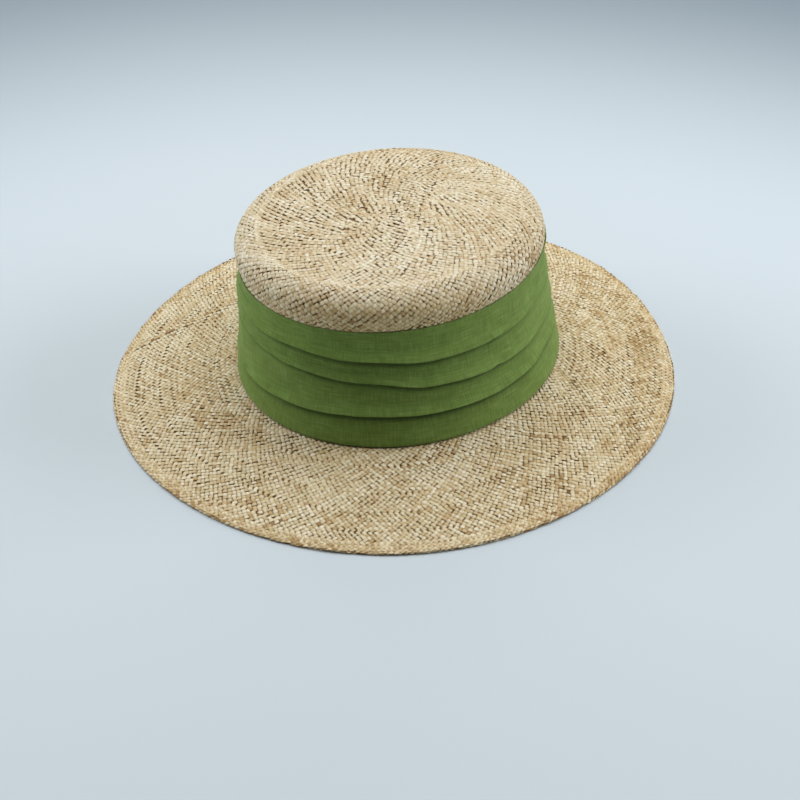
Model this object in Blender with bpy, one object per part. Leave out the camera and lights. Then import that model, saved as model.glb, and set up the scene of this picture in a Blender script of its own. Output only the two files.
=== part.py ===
"""Flat top straw hat: one woven straw hood with a pleated linen band round its crown."""
import math
from collections import namedtuple

import bmesh
import bpy

OBJECT_NAME = "flat_top_straw_hat"
MM = 0.001

# The head hollow, from the usual 58 cm head size
HEAD_HALF_WIDTH = 85.5 * MM
HEAD_HALF_LENGTH = 100.0 * MM
STRAW_THICKNESS = 2.0 * MM

# Where the head hollow's middle lies from the middle of the whole hat
HEAD_CENTRE_X = -1.05 * MM
HEAD_CENTRE_Y = -0.64 * MM

# The crown
CROWN_HEIGHT = 104.0 * MM
TIP_DOME = 1.6 * MM
WALL_TOP_HEIGHT = 90.0 * MM
WALL_TAPER = 8.3 * MM
SHOULDER_WIDTH = 14.0 * MM
CROWN_LEAN_X = -5.5 * MM
CROWN_LEAN_Y = -4.0 * MM

# Above the band's upper edge the straw swells out again, by these amounts at the wall's top
SWELL_START_HEIGHT = 79.0 * MM
SWELL_WIDTH = 3.6 * MM
SWELL_LENGTH = 2.4 * MM

# The brim: half sizes of its rim, and how it falls from the crown to the surface it rests on
BRIM_HALF_WIDTH = 162.0 * MM
BRIM_HALF_LENGTH = 176.0 * MM
CORNER_HEIGHT = 12.9 * MM
CORNER_RADIUS = 2.0 * MM
BRIM_FALL_POWER = 1.12
RIM_ROUND = 0.7 * MM
REST_RING_WIDTH = 5.0 * MM

# The linen band and the space between it and the straw
BAND_CLEARANCE = 0.3 * MM
BAND_HEIGHT = 70.5 * MM
BAND_BOTTOM = 13.5 * MM
BAND_TUCK_THICKNESS = 1.1 * MM
BAND_PLEAT_STEP = 1.5 * MM
BAND_HEM = 1.9 * MM

AROUND = 72

# How far the rim stands out from its oval, by angle from the right-hand side, in degrees
RimEntry = namedtuple("RimEntry", "angle outset_mm")
RIM_OUTSET = (
    RimEntry(-168, -2.3),
    RimEntry(-125, 1.4),
    RimEntry(-84, 0.2),
    RimEntry(-44, 1.3),
    RimEntry(6, 0.0),
    RimEntry(48, -1.6),
    RimEntry(84, 1.6),
    RimEntry(130, 0.4),
)

# The three folds between the band's four pleats. Heights are shares of the band's height from
# its lower edge, depths are shares of the full pleat step; the folds are deepest at the front.
FoldEntry = namedtuple("FoldEntry", "angle upper upper_depth middle middle_depth lower lower_depth")
FOLDS = (
    FoldEntry(-150, 0.78, 0.15, 0.61, 0.10, 0.22, 0.20),
    FoldEntry(-118, 0.782, 0.55, 0.61, 0.15, 0.228, 0.50),
    FoldEntry(-100, 0.775, 1.0, 0.608, 0.50, 0.25, 0.80),
    FoldEntry(-86, 0.775, 1.0, 0.60, 0.75, 0.263, 0.90),
    FoldEntry(-58, 0.749, 1.0, 0.565, 0.80, 0.285, 1.0),
    FoldEntry(-36, 0.718, 1.0, 0.50, 0.90, 0.268, 1.0),
    FoldEntry(-13, 0.715, 0.75, 0.483, 1.0, 0.265, 1.0),
    FoldEntry(2, 0.711, 0.25, 0.479, 0.70, 0.275, 0.90),
    FoldEntry(16, 0.72, 0.05, 0.475, 0.20, 0.292, 0.45),
    FoldEntry(60, 0.74, 0.15, 0.50, 0.15, 0.29, 0.15),
    FoldEntry(120, 0.75, 0.40, 0.52, 0.40, 0.27, 0.40),
    FoldEntry(180, 0.76, 0.35, 0.55, 0.35, 0.25, 0.35),
)

# The rise of the band's upper edge, and how full its lowest pleat stands out, by angle
EdgeEntry = namedtuple("EdgeEntry", "angle rise_mm fullness_mm")
BAND_EDGE = (
    EdgeEntry(-160, 2.0, 0.3),
    EdgeEntry(-118, 2.4, 0.0),
    EdgeEntry(-86, -0.7, 0.0),
    EdgeEntry(-32, -0.4, 0.6),
    EdgeEntry(2, 1.3, 1.8),
    EdgeEntry(36, 2.4, 2.8),
    EdgeEntry(90, 2.0, 1.2),
)

# The share of that fullness that each pleat takes, from the uppermost to the lowest
PLEAT_FULLNESS = (0.15, 0.35, 0.6, 1.0)

OvalRow = namedtuple("OvalRow", "half_x half_y z outset_share")


def clear_scene():
    for item in list(bpy.data.objects):
        bpy.data.objects.remove(item, do_unlink=True)


def around_table(table, angle, column):
    """Value of a column at an angle, eased from entry to entry all the way round."""
    angle = (angle + 180.0) % 360.0 - 180.0
    before, after = table[-1], table[0]
    start, end = before.angle - 360.0, after.angle
    for index in range(len(table)):
        if angle < table[index].angle:
            after = table[index]
            end = after.angle
            if index > 0:
                before = table[index - 1]
                start = before.angle
            break
    else:
        before, after = table[-1], table[0]
        start, end = before.angle, after.angle + 360.0
    share = (angle - start) / (end - start)
    eased = 0.5 - 0.5 * math.cos(math.pi * share)
    first = getattr(before, column)
    return first + (getattr(after, column) - first) * eased


def lean_at(z):
    """The middle of the oval at a height: the crown leans a little sideways as it rises."""
    share = max(0.0, (z - CORNER_HEIGHT) / (WALL_TOP_HEIGHT - CORNER_HEIGHT))
    return HEAD_CENTRE_X + CROWN_LEAN_X * share, HEAD_CENTRE_Y + CROWN_LEAN_Y * share


def wall_half_sizes(z, inward):
    """Half sizes of the crown's wall at a height, a distance inside its outer face."""
    outer_x = HEAD_HALF_WIDTH + STRAW_THICKNESS
    outer_y = HEAD_HALF_LENGTH + STRAW_THICKNESS
    taper = WALL_TAPER * (z - CORNER_HEIGHT) / (WALL_TOP_HEIGHT - CORNER_HEIGHT)
    share = (z - SWELL_START_HEIGHT) / (WALL_TOP_HEIGHT - SWELL_START_HEIGHT)
    share = min(1.0, max(0.0, share))
    swell = share * share * (3.0 - 2.0 * share)
    half_x = outer_x - taper + SWELL_WIDTH * swell - inward
    half_y = outer_y - taper + SWELL_LENGTH * swell - inward
    return half_x, half_y


def tip_rows(inward):
    """The tip's rows, from the middle out to where the shoulder starts."""
    edge_x, edge_y = wall_half_sizes(WALL_TOP_HEIGHT, SHOULDER_WIDTH)
    rows = []
    for share in (0.16, 0.36, 0.58, 0.80, 1.0):
        height = CROWN_HEIGHT - TIP_DOME * share ** 2 - inward
        rows.append(OvalRow(edge_x * share, edge_y * share, height, 0.0))
    return rows


def shoulder_rows(inward):
    """The rounded shoulder between the tip and the wall."""
    edge_x, edge_y = wall_half_sizes(WALL_TOP_HEIGHT, SHOULDER_WIDTH)
    drop = CROWN_HEIGHT - TIP_DOME - WALL_TOP_HEIGHT
    rows = []
    for step in (1, 2, 3, 4, 5):
        turn = math.radians(18.0 * step)
        out = (SHOULDER_WIDTH - inward) * math.sin(turn)
        height = WALL_TOP_HEIGHT + (drop - inward) * math.cos(turn)
        rows.append(OvalRow(edge_x + out, edge_y + out, height, 0.0))
    return rows


def wall_rows(inward):
    """The wall below the shoulder, down to the corner where the brim starts."""
    foot = CORNER_HEIGHT + CORNER_RADIUS
    swell_height = WALL_TOP_HEIGHT - SWELL_START_HEIGHT
    heights = [WALL_TOP_HEIGHT - swell_height * share for share in (0.3, 0.65, 1.0)]
    heights += [foot + (SWELL_START_HEIGHT - foot) * share for share in (0.5, 0.0)]
    rows = []
    for height in heights:
        half_x, half_y = wall_half_sizes(height, inward)
        rows.append(OvalRow(half_x, half_y, height, 0.0))
    return rows


def corner_rows(inward):
    """The small round where the wall turns into the brim."""
    centre_height = CORNER_HEIGHT + CORNER_RADIUS
    wall_x, wall_y = wall_half_sizes(centre_height, 0.0)
    radius = CORNER_RADIUS + inward
    rows = []
    for turn_degrees in (28.0, 56.0, 84.0):
        turn = math.radians(turn_degrees)
        out = CORNER_RADIUS - radius * math.cos(turn)
        height = centre_height - radius * math.sin(turn)
        rows.append(OvalRow(wall_x + out, wall_y + out, height, 0.0))
    return rows


def brim_rows(inward):
    """The brim, falling from the corner towards its rim."""
    centre_height = CORNER_HEIGHT + CORNER_RADIUS
    start_x, start_y = wall_half_sizes(centre_height, -CORNER_RADIUS)
    rows = []
    for share in (0.15, 0.33, 0.52, 0.72, 0.9):
        half_x = start_x + (BRIM_HALF_WIDTH - start_x) * share
        half_y = start_y + (BRIM_HALF_LENGTH - start_y) * share
        fall = (CORNER_HEIGHT - STRAW_THICKNESS) * share ** BRIM_FALL_POWER
        rows.append(OvalRow(half_x, half_y, CORNER_HEIGHT - fall - inward, share))
    return rows


def rim_rows():
    """The rim's rounded edge and the narrow flat ring that it rests on."""
    top = STRAW_THICKNESS
    flat_x = BRIM_HALF_WIDTH - REST_RING_WIDTH
    flat_y = BRIM_HALF_LENGTH - REST_RING_WIDTH
    inner_x = BRIM_HALF_WIDTH - RIM_ROUND
    inner_y = BRIM_HALF_LENGTH - RIM_ROUND
    return [
        OvalRow(inner_x, inner_y, top, 1.0),
        OvalRow(BRIM_HALF_WIDTH, BRIM_HALF_LENGTH, top - RIM_ROUND, 1.0),
        OvalRow(BRIM_HALF_WIDTH, BRIM_HALF_LENGTH, RIM_ROUND, 1.0),
        OvalRow(inner_x, inner_y, 0.0, 1.0),
        OvalRow(flat_x, flat_y, 0.0, 1.0),
    ]


def oval_points(row):
    """Points round one oval row, with the rim's outset where the row takes a share of it."""
    lean_x, lean_y = lean_at(row.z)
    points = []
    for index in range(AROUND):
        degrees = 360.0 * index / AROUND
        angle = math.radians(degrees)
        outset = around_table(RIM_OUTSET, degrees, "outset_mm") * MM * row.outset_share
        x = lean_x + (row.half_x + outset) * math.cos(angle)
        y = lean_y + (row.half_y + outset) * math.sin(angle)
        points.append((x, y, row.z))
    return points


def loft(mesh, rings, closed):
    """Join rings of points with faces; a closed loft also joins the last ring to the first."""
    made = [[mesh.verts.new(point) for point in ring] for ring in rings]
    pairs = list(zip(made, made[1:]))
    if closed:
        pairs.append((made[-1], made[0]))
    for upper, lower in pairs:
        for index in range(AROUND):
            following = (index + 1) % AROUND
            mesh.faces.new((upper[index], lower[index], lower[following], upper[following]))
    return made


def close_with_pole(mesh, ring, height, facing_up):
    """Close a ring with a fan of faces round one point."""
    lean_x, lean_y = lean_at(height)
    pole = mesh.verts.new((lean_x, lean_y, height))
    for index in range(AROUND):
        following = (index + 1) % AROUND
        if facing_up:
            mesh.faces.new((pole, ring[index], ring[following]))
        else:
            mesh.faces.new((pole, ring[following], ring[index]))


def add_object(name, mesh, collection, colour, roughness):
    """Turn a finished bmesh into a named, smooth-shaded object with its own material."""
    bmesh.ops.recalc_face_normals(mesh, faces=mesh.faces)
    data = bpy.data.meshes.new(name)
    mesh.to_mesh(data)
    mesh.free()
    for face in data.polygons:
        face.use_smooth = True
    material = bpy.data.materials.new(name)
    material.use_nodes = True
    shader = material.node_tree.nodes["Principled BSDF"]
    shader.inputs["Base Color"].default_value = colour
    shader.inputs["Roughness"].default_value = roughness
    material.diffuse_color = colour
    data.materials.append(material)
    made = bpy.data.objects.new(name, data)
    collection.objects.link(made)
    return made


def make_straw_body(collection):
    """The hood: tip, shoulder, wall and brim in one woven sheet."""
    outside = tip_rows(0.0) + shoulder_rows(0.0) + wall_rows(0.0) + corner_rows(0.0)
    outside += brim_rows(0.0)
    thickness = STRAW_THICKNESS
    inside = tip_rows(thickness) + shoulder_rows(thickness) + wall_rows(thickness)
    inside += corner_rows(thickness) + brim_rows(thickness)
    inside.reverse()
    rows = outside + rim_rows() + inside
    mesh = bmesh.new()
    rings = loft(mesh, [oval_points(row) for row in rows], closed=False)
    close_with_pole(mesh, rings[0], CROWN_HEIGHT, facing_up=True)
    close_with_pole(mesh, rings[-1], CROWN_HEIGHT - thickness, facing_up=False)
    return add_object("straw_body", mesh, collection, (0.62, 0.50, 0.32, 1.0), 0.7)


def band_section(degrees):
    """The band's closed section at an angle: (distance out from the straw wall, height)."""
    top = BAND_BOTTOM + BAND_HEIGHT + around_table(BAND_EDGE, degrees, "rise_mm") * MM
    fullness = around_table(BAND_EDGE, degrees, "fullness_mm") * MM
    height = BAND_HEIGHT
    folds = []
    for name in ("upper", "middle", "lower"):
        level = BAND_BOTTOM + height * around_table(FOLDS, degrees, name)
        depth = around_table(FOLDS, degrees, name + "_depth")
        folds.append((level, depth))
    folds.append((BAND_BOTTOM, 0.35))
    tuck = BAND_CLEARANCE + BAND_TUCK_THICKNESS
    lip = tuck + BAND_PLEAT_STEP
    middle = 0.5 * (tuck + lip)
    section = [
        (BAND_CLEARANCE, top - 0.4 * MM),
        (BAND_CLEARANCE + 0.4 * MM, top),
        (tuck, top - 0.3 * MM),
    ]
    above, above_depth = top - 0.3 * MM, 0.6
    above_full = 0.0
    for (level, depth), full_share in zip(folds, PLEAT_FULLNESS):
        tier = above - level
        tucked = middle + (tuck - middle) * above_depth + above_full
        proud = middle + (lip - middle) * depth + fullness * full_share
        above_full = fullness * full_share
        section.append((tucked, above - 0.6 * MM))
        section.append((tucked + (proud - tucked) * 0.62, above - tier * 0.38))
        section.append((tucked + (proud - tucked) * 0.97, above - tier * 0.76))
        section.append((proud, level + 0.9 * MM))
        above, above_depth = level, depth
    section.append((section[-1][0] - 0.5 * MM, BAND_BOTTOM))
    section.append((BAND_CLEARANCE + BAND_HEM, BAND_BOTTOM))
    section.append((BAND_CLEARANCE, BAND_BOTTOM + 3.0 * MM))
    return section


def make_linen_band(collection):
    """The pleated band: one closed ring standing a clearance off the straw wall."""
    columns = []
    for index in range(AROUND):
        degrees = 360.0 * index / AROUND
        angle = math.radians(degrees)
        column = []
        for out, z in band_section(degrees):
            half_x, half_y = wall_half_sizes(z, -out)
            lean_x, lean_y = lean_at(z)
            x = lean_x + half_x * math.cos(angle)
            y = lean_y + half_y * math.sin(angle)
            column.append((x, y, z))
        columns.append(column)
    rings = [list(ring) for ring in zip(*columns)]
    mesh = bmesh.new()
    loft(mesh, rings, closed=True)
    return add_object("linen_band", mesh, collection, (0.10, 0.17, 0.05, 1.0), 0.9)


def main():
    clear_scene()
    collection = bpy.data.collections.new(OBJECT_NAME)
    bpy.context.scene.collection.children.link(collection)
    make_straw_body(collection)
    make_linen_band(collection)


main()
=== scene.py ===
# Looks of the flat top straw hat: woven straw strands and a pleated linen band round the crown.
# Lengths are in millimetres until a mesh is made; angles are in degrees from the hat's right.
import math

import bpy
import numpy as np
from mathutils import Matrix, Vector


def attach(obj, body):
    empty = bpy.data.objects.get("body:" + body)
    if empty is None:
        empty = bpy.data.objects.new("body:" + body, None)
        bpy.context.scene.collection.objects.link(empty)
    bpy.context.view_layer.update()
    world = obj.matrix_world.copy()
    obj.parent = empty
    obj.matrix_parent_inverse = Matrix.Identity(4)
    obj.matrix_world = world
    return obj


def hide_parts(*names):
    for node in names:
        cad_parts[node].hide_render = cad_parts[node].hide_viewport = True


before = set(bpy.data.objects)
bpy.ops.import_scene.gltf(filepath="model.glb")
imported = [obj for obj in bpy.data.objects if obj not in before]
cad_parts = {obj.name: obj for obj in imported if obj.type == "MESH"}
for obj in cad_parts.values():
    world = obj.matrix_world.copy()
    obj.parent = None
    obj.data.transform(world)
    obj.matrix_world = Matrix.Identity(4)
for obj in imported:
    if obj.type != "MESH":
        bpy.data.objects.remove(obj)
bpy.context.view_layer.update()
print("frame loaded")

metres = 0.001
rootBody = "root"


# The hood's own shape, the same as the solid's

hood = {
    "headHalfWidth": 85.5,
    "headHalfLength": 100.0,
    "strawThickness": 2.0,
    "headCentreX": -1.05,
    "headCentreY": -0.64,
    "crownHeight": 104.0,
    "tipDome": 1.6,
    "wallTop": 90.0,
    "wallTaper": 8.3,
    "shoulderWidth": 14.0,
    "crownLeanX": -5.5,
    "crownLeanY": -4.0,
    "swellStart": 79.0,
    "swellWidth": 3.6,
    "swellLength": 2.4,
    "brimHalfWidth": 162.0,
    "brimHalfLength": 176.0,
    "cornerHeight": 12.9,
    "cornerRadius": 2.0,
    "brimFallPower": 1.12,
    # the weave starts on a short slanting line across the tip, not at a point
    "startHalfLength": 24.0,
    "startShiftX": 5.0,
    "startShiftY": 5.5,
    "startTurn": -11.0,
}

# angle, and how far the rim stands out from its oval there
rimOutset = np.array(
    [
        (-168, -2.3),
        (-125, 1.4),
        (-84, 0.2),
        (-44, 1.3),
        (6, 0.0),
        (48, -1.6),
        (84, 1.6),
        (130, 0.4),
    ]
)


def easedAround(table, degrees, column=1):
    # value of a column at each angle, eased from row to row all the way round
    angles = table[:, 0]
    values = table[:, column]
    turned = (np.asarray(degrees, float) + 180.0) % 360.0 - 180.0
    after = np.searchsorted(angles, turned, side="right") % len(angles)
    before = (after - 1) % len(angles)
    gap = (angles[after] - angles[before]) % 360.0
    share = ((turned - angles[before]) % 360.0) / gap
    eased = 0.5 - 0.5 * np.cos(np.pi * share)
    return values[before] + (values[after] - values[before]) * eased


def smoothStep(low, high, value):
    share = np.clip((value - low) / (high - low), 0.0, 1.0)
    return share * share * (3.0 - 2.0 * share)


def crownCentre(z):
    # the crown leans a little sideways as it rises
    share = np.maximum(0.0, (z - hood["cornerHeight"]) / (hood["wallTop"] - hood["cornerHeight"]))
    x = hood["headCentreX"] + hood["crownLeanX"] * share
    y = hood["headCentreY"] + hood["crownLeanY"] * share
    return x, y


def wallHalves(z, inward):
    # half sizes of the wall's oval at a height, a distance inside its outer face
    share = (z - hood["cornerHeight"]) / (hood["wallTop"] - hood["cornerHeight"])
    swell = smoothStep(hood["swellStart"], hood["wallTop"], z)
    outerX = hood["headHalfWidth"] + hood["strawThickness"] - hood["wallTaper"] * share
    outerY = hood["headHalfLength"] + hood["strawThickness"] - hood["wallTaper"] * share
    halfX = outerX + hood["swellWidth"] * swell - inward
    halfY = outerY + hood["swellLength"] * swell - inward
    return halfX, halfY


def hoodLayer(inward, woven):
    # stations of one layer from the tip's middle to the rim, as columns:
    # halfX, halfY, z, centreX, centreY, turn, tipShare, outsetShare
    stations = []
    edgeX, edgeY = wallHalves(hood["wallTop"], hood["shoulderWidth"])
    start = hood["startHalfLength"] if woven else 0.0
    tipZ = hood["crownHeight"] - inward
    for share in np.linspace(0.0, 1.0, 60):
        left = (1.0 - share) if woven else 0.0
        centreX, centreY = crownCentre(hood["crownHeight"])
        centreX = centreX + hood["startShiftX"] * left
        centreY = centreY + hood["startShiftY"] * left
        halfY = start + (edgeY - start) * share
        turn = hood["startTurn"] * left
        stations.append((edgeX * share, halfY, tipZ, centreX, centreY, turn, 1.0, 0.0))
    drop = hood["crownHeight"] - hood["tipDome"] - hood["wallTop"]
    for degrees in np.linspace(3.0, 90.0, 30):
        angle = math.radians(degrees)
        out = (hood["shoulderWidth"] - inward) * math.sin(angle)
        z = hood["wallTop"] + (drop - inward) * math.cos(angle)
        stations.append((edgeX + out, edgeY + out, z, *crownCentre(z), 0.0, 0.0, 0.0))
    foot = hood["cornerHeight"] + hood["cornerRadius"]
    for z in np.linspace(hood["wallTop"] - 1.0, foot, 74):
        stations.append((*wallHalves(z, inward), z, *crownCentre(z), 0.0, 0.0, 0.0))
    footX, footY = wallHalves(foot, 0.0)
    radius = hood["cornerRadius"] + inward
    for degrees in (20.0, 40.0, 60.0, 80.0):
        angle = math.radians(degrees)
        out = hood["cornerRadius"] - radius * math.cos(angle)
        z = foot - radius * math.sin(angle)
        stations.append((footX + out, footY + out, z, *crownCentre(z), 0.0, 0.0, 0.0))
    startX, startY = wallHalves(foot, -hood["cornerRadius"])
    endX = hood["brimHalfWidth"] - hood["strawThickness"] * 0.5
    endY = hood["brimHalfLength"] - hood["strawThickness"] * 0.5
    for share in np.linspace(0.02, 1.0, 72):
        fall = (hood["cornerHeight"] - hood["strawThickness"]) * share ** hood["brimFallPower"]
        halfX = startX + (endX - startX) * share
        halfY = startY + (endY - startY) * share
        z = hood["cornerHeight"] - fall - inward
        stations.append((halfX, halfY, z, *crownCentre(z), 0.0, 0.0, share))
    return np.array(stations)


def hoodPath(depth, woven=True):
    # the whole way round one section: down the outside, round the rim and back up the inside
    outside = hoodLayer(depth, woven)
    inside = hoodLayer(hood["strawThickness"] - depth, woven)[::-1]
    radius = hood["strawThickness"] * 0.5 - depth
    rim = []
    for degrees in np.linspace(15.0, 165.0, 7):
        angle = math.radians(degrees)
        row = outside[-1].copy()
        row[0] += radius * math.sin(angle)
        row[1] += radius * math.sin(angle)
        row[2] = hood["strawThickness"] * 0.5 + radius * math.cos(angle)
        rim.append(row)
    stations = np.vstack([outside, np.array(rim), inside])
    sideways = np.diff(stations[:, :2], axis=0).mean(axis=1)
    climb = np.diff(stations[:, 2])
    along = np.concatenate([[0.0], np.cumsum(np.hypot(sideways, climb) + 1e-6)])
    marks = {"rim": along[len(outside) + 3], "end": along[-1]}
    tipCount, shoulderCount, wallCount = 60, 30, 74
    marks["tipEdge"] = along[tipCount - 1]
    marks["wallTop"] = along[tipCount + shoulderCount - 1]
    marks["corner"] = along[tipCount + shoulderCount + wallCount - 1]
    return {"stations": stations, "along": along, "marks": marks}


def hoodStation(path, s):
    columns = [np.interp(s, path["along"], path["stations"][:, k]) for k in range(8)]
    return np.stack(columns, axis=-1)


def hoodPoint(path, s, theta):
    # points on a layer at path lengths s and angles theta, in radians
    row = hoodStation(path, s)
    outset = easedAround(rimOutset, np.degrees(theta)) * row[..., 7]
    x = (row[..., 0] + outset) * np.cos(theta)
    y = (row[..., 1] + outset) * np.sin(theta)
    turn = np.radians(row[..., 5])
    px = row[..., 3] + x * np.cos(turn) - y * np.sin(turn)
    py = row[..., 4] + x * np.sin(turn) + y * np.cos(turn)
    edgeX, edgeY = wallHalves(hood["wallTop"], hood["shoulderWidth"])
    edgeCentreX, edgeCentreY = crownCentre(hood["crownHeight"])
    spread = ((px - edgeCentreX) / edgeX) ** 2 + ((py - edgeCentreY) / edgeY) ** 2
    pz = row[..., 2] - row[..., 6] * hood["tipDome"] * np.minimum(spread, 1.0)
    return np.stack([px, py, pz], axis=-1)


def newMesh(name, points, faces):
    # points in millimetres, faces as rows of indices of one length each
    mesh = bpy.data.meshes.new(name)
    mesh.from_pydata((points * metres).tolist(), [], faces)
    mesh.update()
    made = bpy.data.objects.new(name, mesh)
    bpy.context.scene.collection.objects.link(made)
    return made


def shadeSmooth(piece):
    piece.data.polygons.foreach_set("use_smooth", [True] * len(piece.data.polygons))
    piece.data.update()


# Materials


def linearColour(hexText, alpha=1.0):
    channels = [int(hexText[k : k + 2], 16) / 255.0 for k in (0, 2, 4)]
    linear = [c / 12.92 if c <= 0.04045 else ((c + 0.055) / 1.055) ** 2.4 for c in channels]
    return (*linear, alpha)


def addNode(material, kind, links=None, **settings):
    # one node: settings name its properties or, with "in_", its inputs; links feed its inputs
    node = material.node_tree.nodes.new(kind)
    for key, value in settings.items():
        if key.startswith("in_"):
            node.inputs[key[3:].replace("_", " ")].default_value = value
        else:
            setattr(node, key, value)
    for socket, source in (links or {}).items():
        material.node_tree.links.new(source, node.inputs[socket])
    return node


def newMaterial(name, viewColour):
    material = bpy.data.materials.new(name)
    material.use_nodes = True
    material.diffuse_color = linearColour(viewColour)
    return material, material.node_tree.nodes["Principled BSDF"]


strawLook = {
    # the strand's colour from the darkest sun-browned leaf to the palest split leaf
    "ramp": (
        (0.0, "76582F"),
        (0.2, "AE8F60"),
        (0.4, "D0BB91"),
        (0.6, "E1D5B5"),
        (0.8, "EDE7D0"),
        (1.0, "F5F0DF"),
    ),
    "pinkLeaf": "D8BC9C",
    "greenLeaf": "BDB587",
    "goldAndBounceTint": "FFF4D8",  # multiplies the colour where the straw is more golden, and where warm bounce light is painted
    # the cut edges' colour: partly the strand's own brown, partly painted shade between the cushions
    "edgeBrownAndShade": "B48D5C",
    "edgeBrowningAndShade": 0.5,
    "fibreMillimetres": 0.22,
    "roughness": 0.58,
}


def makeStrawMaterial():
    # Natural palm straw, split by hand and woven: matt to silky strands whose colour changes
    # from leaf to leaf, with fine fibre lines that break the light up.
    material, shader = newMaterial("natural woven straw", "CBB07C")
    tint = addNode(material, "ShaderNodeAttribute", attribute_name="tint")
    hue = addNode(material, "ShaderNodeAttribute", attribute_name="hue")
    place = addNode(material, "ShaderNodeTexCoord")
    fibreScale = 1.0 / (strawLook["fibreMillimetres"] * metres)
    fibres = addNode(
        material,
        "ShaderNodeTexNoise",
        {"Vector": place.outputs["Object"]},
        in_Scale=fibreScale * 0.25,
        in_Detail=2.0,
        in_Roughness=0.6,
    )
    mixed = addNode(
        material,
        "ShaderNodeMath",
        {0: fibres.outputs["Fac"], 2: tint.outputs["Fac"]},
        operation="MULTIPLY_ADD",
    )
    mixed.inputs[1].default_value = 0.22
    shifted = addNode(
        material, "ShaderNodeMath", {0: mixed.outputs["Value"]}, operation="SUBTRACT"
    )
    shifted.inputs[1].default_value = 0.11
    ramp = addNode(material, "ShaderNodeValToRGB", {"Fac": shifted.outputs["Value"]})
    stops = strawLook["ramp"]
    while len(ramp.color_ramp.elements) < len(stops):
        ramp.color_ramp.elements.new(0.5)
    for element, (position, colour) in zip(ramp.color_ramp.elements, stops):
        element.position = position
        element.color = linearColour(colour)
    leaves = addNode(material, "ShaderNodeValToRGB", {"Fac": hue.outputs["Fac"]})
    leaves.color_ramp.interpolation = "CONSTANT"
    leaves.color_ramp.elements[0].color = linearColour(strawLook["greenLeaf"])
    leaves.color_ramp.elements[1].position = 0.5
    leaves.color_ramp.elements[1].color = linearColour(strawLook["pinkLeaf"])
    # hue near 0 is greenish, near 1 pinkish, and the middle keeps the plain straw colour
    away = addNode(material, "ShaderNodeMath", {0: hue.outputs["Fac"]}, operation="SUBTRACT")
    away.inputs[1].default_value = 0.5
    size = addNode(material, "ShaderNodeMath", {0: away.outputs["Value"]}, operation="ABSOLUTE")
    amount = addNode(
        material,
        "ShaderNodeMapRange",
        {"Value": size.outputs["Value"]},
        in_From_Min=0.34,
        in_From_Max=0.5,
        in_To_Min=0.0,
        in_To_Max=0.45,
    )
    coloured = addNode(
        material,
        "ShaderNodeMix",
        {"Factor": amount.outputs["Result"]},
        data_type="RGBA",
        blend_type="MIX",
    )
    material.node_tree.links.new(ramp.outputs["Color"], coloured.inputs["A"])
    material.node_tree.links.new(leaves.outputs["Color"], coloured.inputs["B"])
    # the gold attribute holds the straw's golden tone together with the painted warm bounce light
    goldAndWarmBounce = addNode(material, "ShaderNodeAttribute", attribute_name="gold")
    goldenedAndWarmed = addNode(
        material,
        "ShaderNodeMix",
        {"Factor": goldAndWarmBounce.outputs["Fac"]},
        data_type="RGBA",
        blend_type="MULTIPLY",
    )
    material.node_tree.links.new(coloured.outputs["Result"], goldenedAndWarmed.inputs["A"])
    goldenedAndWarmed.inputs["B"].default_value = linearColour(strawLook["goldAndBounceTint"])
    # the cut edges of each strand are browner than its face; the same darkening also paints shade in the
    # thin lines between the cushions
    border = addNode(material, "ShaderNodeAttribute", attribute_name="border")
    narrow = addNode(material, "ShaderNodeMath", {0: border.outputs["Fac"]}, operation="POWER")
    narrow.inputs[1].default_value = 3.0
    edgeBrownedAndShaded = addNode(
        material,
        "ShaderNodeMapRange",
        {"Value": narrow.outputs["Value"]},
        in_To_Max=strawLook["edgeBrowningAndShade"],
    )
    edged = addNode(
        material,
        "ShaderNodeMix",
        {"Factor": edgeBrownedAndShaded.outputs["Result"]},
        data_type="RGBA",
        blend_type="MULTIPLY",
    )
    material.node_tree.links.new(goldenedAndWarmed.outputs["Result"], edged.inputs["A"])
    edged.inputs["B"].default_value = linearColour(strawLook["edgeBrownAndShade"])
    material.node_tree.links.new(edged.outputs["Result"], shader.inputs["Base Color"])
    fine = addNode(
        material,
        "ShaderNodeTexNoise",
        {"Vector": place.outputs["Object"]},
        in_Scale=fibreScale,
        in_Detail=1.0,
    )
    bump = addNode(
        material,
        "ShaderNodeBump",
        {"Height": fine.outputs["Fac"]},
        in_Strength=0.25,
        in_Distance=0.0001,
    )
    material.node_tree.links.new(bump.outputs["Normal"], shader.inputs["Normal"])
    shader.inputs["Roughness"].default_value = strawLook["roughness"]
    shader.inputs["IOR"].default_value = 1.48
    return material


def makeShadedStrawMaterial():
    # The strands' undersides seen through the gaps of the weave: brown, dry, and painted quite dark as
    # painted shade inside the weave.
    material, shader = newMaterial("straw in the gaps with painted shade", "3A2A18")
    place = addNode(material, "ShaderNodeTexCoord")
    blotches = addNode(
        material,
        "ShaderNodeTexNoise",
        {"Vector": place.outputs["Object"]},
        in_Scale=1.0 / (6.0 * metres),
        in_Detail=2.0,
    )
    ramp = addNode(material, "ShaderNodeValToRGB", {"Fac": blotches.outputs["Fac"]})
    ramp.color_ramp.elements[0].position = 0.35
    ramp.color_ramp.elements[0].color = linearColour("70522D")
    ramp.color_ramp.elements[1].position = 0.65
    ramp.color_ramp.elements[1].color = linearColour("9A7644")
    material.node_tree.links.new(ramp.outputs["Color"], shader.inputs["Base Color"])
    shader.inputs["Roughness"].default_value = 0.85
    shader.inputs["IOR"].default_value = 1.45
    return material


strawMaterial = makeStrawMaterial()
gapMaterial = makeShadedStrawMaterial()
print("straw materials made")


# The weave: every strand shows as a row of small cushions, one for each place it passes over

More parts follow.
